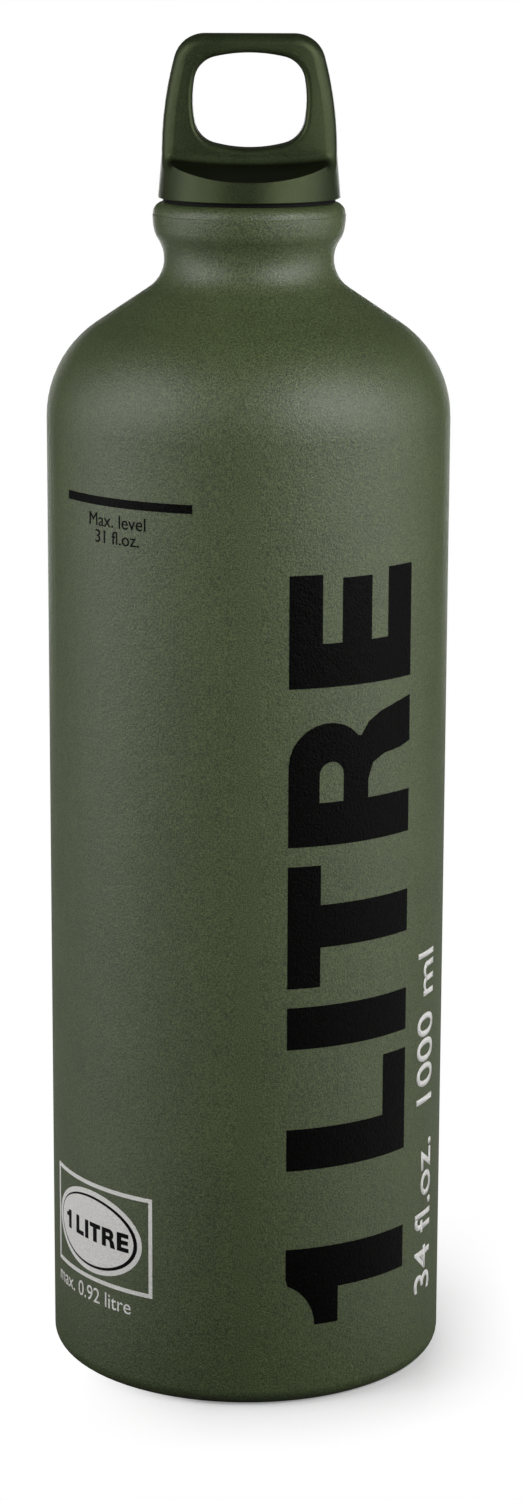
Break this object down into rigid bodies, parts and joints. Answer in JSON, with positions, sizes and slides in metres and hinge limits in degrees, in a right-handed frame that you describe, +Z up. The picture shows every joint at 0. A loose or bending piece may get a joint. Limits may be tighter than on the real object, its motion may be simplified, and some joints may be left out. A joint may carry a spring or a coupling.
{
  "type": "fuel bottle",
  "caption": "Tall aluminium camping fuel bottle with a rounded shoulder, waisted neck and a screw stopper with a finger loop that is pressed down and turned to open.",
  "frame": {"origin": "middle of the bottle's foot, on the surface that it stands on", "axes": "+Z up along the bottle's axis; the finger loop's flat faces look along -Y (front) and +Y, and the loop is widest along X"},
  "size_m": [0.08, 0.08, 0.2679],
  "materials": {
    "powder_coat": "matte olive green powder coat with a fine grain",
    "cap_plastic": "satin dark olive green moulding",
    "plug_plastic": "black glass-filled moulding",
    "gasket_rubber": "black fuel-proof rubber",
    "spring_steel": "drawn stainless wire",
    "black_print": "screen-printed black ink over the coat",
    "white_print": "screen-printed off-white ink over the coat",
    "bare_aluminium": "uncoated drawn aluminium inside the bottle"
  },
  "bodies": {
    "bottle": {"bottle_shell": "powder_coat"},
    "seal": {"sealing_gasket": "gasket_rubber"},
    "plug": {"screw_plug": "plug_plastic", "return_spring": "spring_steel"},
    "cap": {"loop_cap": "cap_plastic"}
  },
  "joints": [
    {"name": "stopper_lift", "type": "slide", "parent": "bottle", "child": "seal", "axis": [0, 0, 1], "range_m": [0, 0.01261]},
    {"name": "stopper_turn", "type": "hinge", "parent": "seal", "child": "plug", "pos_m": [0, 0, 0.23565], "axis": [0, 0, 1], "range_deg": [0, 1512]},
    {"name": "cap_press", "type": "slide", "parent": "plug", "child": "cap", "axis": [0, 0, 1], "range_m": [-0.00065, 0], "stiffness_N_per_m": 930, "springref_m": 0.008, "deforming": ["return_spring"]}
  ],
  "couplings": [
    {"joint": "stopper_lift", "follows": "stopper_turn", "m_per_rad": 0.00047746}
  ]
}
